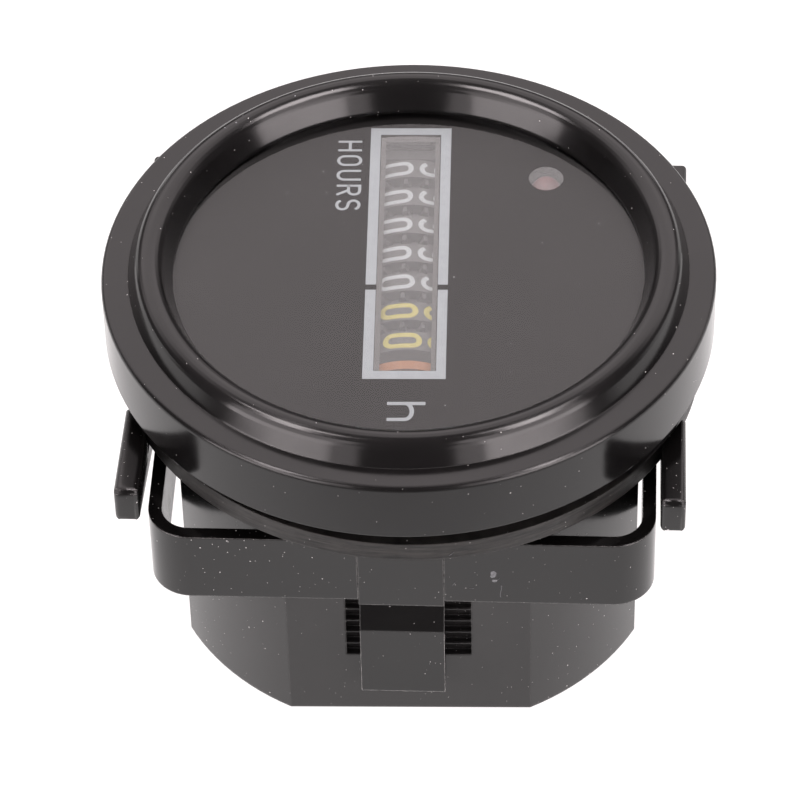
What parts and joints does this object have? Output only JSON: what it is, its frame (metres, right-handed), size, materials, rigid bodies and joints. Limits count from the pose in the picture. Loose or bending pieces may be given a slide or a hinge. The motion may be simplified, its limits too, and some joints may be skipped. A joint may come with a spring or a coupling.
{
  "type": "panel hour meter",
  "caption": "Round panel-mounted hour meter: digit wheels under a clear lens in a beaded bezel, with a rubber gasket and a ratchet bracket that clamps it from behind.",
  "frame": {"origin": "centre of the round body in the plane of the bezel's back edge, where the panel's face lies", "axes": "+Z out of the face, towards the viewer; +X to the top of the lettering; +Y to its left end"},
  "size_m": [0.0594, 0.0594, 0.0495],
  "materials": {
    "gloss_black": "gloss",
    "lens_clear": "clear",
    "dial_black": "satin",
    "lamp_red": "frosted",
    "rubber_black": "matte",
    "housing_black": "satin",
    "bracket_black": "satin",
    "terminal_metal": "tinned",
    "frame_grey": "matte",
    "shaft_steel": "polished",
    "wheel_black": "satin",
    "gear_orange": "satin",
    "gear_natural": "satin",
    "magnet_grey": "matte",
    "motor_iron": "matte",
    "copper_wire": "enamelled",
    "board_green": "satin",
    "can_metal": "satin",
    "chip_black": "matte",
    "capacitor_blue": "gloss",
    "resistor_tan": "gloss",
    "screw_steel": "zinc plated"
  },
  "bodies": {
    "case": {"bezel": "gloss_black", "lens": "lens_clear", "dial_plate": "dial_black", "lamp": "lamp_red", "panel_gasket": "rubber_black", "housing": "housing_black", "terminal_left": "terminal_metal", "terminal_right": "terminal_metal", "counter_frame": "frame_grey", "counter_shaft": "shaft_steel", "pinion_shaft": "shaft_steel", "intermediate_arbor": "shaft_steel", "rotor_arbor": "shaft_steel", "stator": "motor_iron", "coil_core": "motor_iron", "coil_bobbin": "gear_natural", "coil_winding": "copper_wire", "coil_leads": "copper_wire", "circuit_board": "board_green", "quartz_crystal": "can_metal", "driver_chip": "chip_black", "capacitor": "capacitor_blue", "rectifier": "chip_black", "resistor": "resistor_tan", "frame_screws": "screw_steel", "stator_screws": "screw_steel"},
    "bracket": {"mounting_bracket": "bracket_black"},
    "hundredths": {"wheel_hundredths": "wheel_black", "drive_gear": "gear_orange"},
    "intermediate": {"intermediate_wheel": "gear_natural"},
    "rotor": {"rotor": "magnet_grey"},
    "ten_thousands": {"wheel_ten_thousands": "wheel_black"},
    "thousands": {"wheel_thousands": "wheel_black"},
    "hundreds": {"wheel_hundreds": "wheel_black"},
    "tens": {"wheel_tens": "wheel_black"},
    "units": {"wheel_units": "wheel_black"},
    "tenths": {"wheel_tenths": "wheel_black"},
    "pinion_1": {"transfer_pinion_1": "gear_natural"},
    "pinion_2": {"transfer_pinion_2": "gear_natural"},
    "pinion_3": {"transfer_pinion_3": "gear_natural"},
    "pinion_4": {"transfer_pinion_4": "gear_natural"},
    "pinion_5": {"transfer_pinion_5": "gear_natural"},
    "pinion_6": {"transfer_pinion_6": "gear_natural"}
  },
  "joints": [
    {"name": "bracket_slide", "type": "slide", "parent": "case", "child": "bracket", "axis": [0, 0, 1], "range_m": [-0.00662, 0]},
    {"name": "hundredths_spin", "type": "hinge", "parent": "case", "child": "hundredths", "pos_m": [0, -0.01008, -0.00307], "axis": [0, 1, 0], "continuous": true},
    {"name": "ten_thousands_spin", "type": "hinge", "parent": "case", "child": "ten_thousands", "pos_m": [0, 0, -0.00307], "axis": [0, 1, 0], "continuous": true},
    {"name": "thousands_spin", "type": "hinge", "parent": "case", "child": "thousands", "pos_m": [0, 0, -0.00307], "axis": [0, 1, 0], "continuous": true},
    {"name": "hundreds_spin", "type": "hinge", "parent": "case", "child": "hundreds", "pos_m": [0, 0, -0.00307], "axis": [0, 1, 0], "continuous": true},
    {"name": "tens_spin", "type": "hinge", "parent": "case", "child": "tens", "pos_m": [0, 0, -0.00307], "axis": [0, 1, 0], "continuous": true},
    {"name": "units_spin", "type": "hinge", "parent": "case", "child": "units", "pos_m": [0, 0, -0.00307], "axis": [0, 1, 0], "continuous": true},
    {"name": "tenths_spin", "type": "hinge", "parent": "case", "child": "tenths", "pos_m": [0, 0, -0.00307], "axis": [0, 1, 0], "continuous": true},
    {"name": "pinion_1_spin", "type": "hinge", "parent": "case", "child": "pinion_1", "pos_m": [-0.0056, 0, -0.00974], "axis": [0, 1, 0], "continuous": true},
    {"name": "pinion_2_spin", "type": "hinge", "parent": "case", "child": "pinion_2", "pos_m": [-0.0056, 0, -0.00974], "axis": [0, 1, 0], "continuous": true},
    {"name": "pinion_3_spin", "type": "hinge", "parent": "case", "child": "pinion_3", "pos_m": [-0.0056, 0, -0.00974], "axis": [0, 1, 0], "continuous": true},
    {"name": "pinion_4_spin", "type": "hinge", "parent": "case", "child": "pinion_4", "pos_m": [-0.0056, 0, -0.00974], "axis": [0, 1, 0], "continuous": true},
    {"name": "pinion_5_spin", "type": "hinge", "parent": "case", "child": "pinion_5", "pos_m": [-0.0056, 0, -0.00974], "axis": [0, 1, 0], "continuous": true},
    {"name": "pinion_6_spin", "type": "hinge", "parent": "case", "child": "pinion_6", "pos_m": [-0.0056, 0, -0.00974], "axis": [0, 1, 0], "continuous": true},
    {"name": "intermediate_spin", "type": "hinge", "parent": "case", "child": "intermediate", "pos_m": [0.00323, -0.01008, -0.00941], "axis": [0, 1, 0], "continuous": true},
    {"name": "rotor_spin", "type": "hinge", "parent": "case", "child": "rotor", "pos_m": [0, -0.01008, -0.01453], "axis": [0, 1, 0], "continuous": true}
  ],
  "couplings": [
    {"joint": "ten_thousands_spin", "follows": "hundredths_spin", "ratio": 0.000001},
    {"joint": "pinion_1_spin", "follows": "hundredths_spin", "ratio": -0.0000025},
    {"joint": "thousands_spin", "follows": "hundredths_spin", "ratio": 0.00001},
    {"joint": "pinion_2_spin", "follows": "hundredths_spin", "ratio": -0.000025},
    {"joint": "hundreds_spin", "follows": "hundredths_spin", "ratio": 0.0001},
    {"joint": "pinion_3_spin", "follows": "hundredths_spin", "ratio": -0.00025},
    {"joint": "tens_spin", "follows": "hundredths_spin", "ratio": 0.001},
    {"joint": "pinion_4_spin", "follows": "hundredths_spin", "ratio": -0.0025},
    {"joint": "units_spin", "follows": "hundredths_spin", "ratio": 0.01},
    {"joint": "pinion_5_spin", "follows": "hundredths_spin", "ratio": -0.025},
    {"joint": "tenths_spin", "follows": "hundredths_spin", "ratio": 0.1},
    {"joint": "pinion_6_spin", "follows": "hundredths_spin", "ratio": -0.25},
    {"joint": "intermediate_spin", "follows": "hundredths_spin", "ratio": -6},
    {"joint": "rotor_spin", "follows": "hundredths_spin", "ratio": 30}
  ]
}
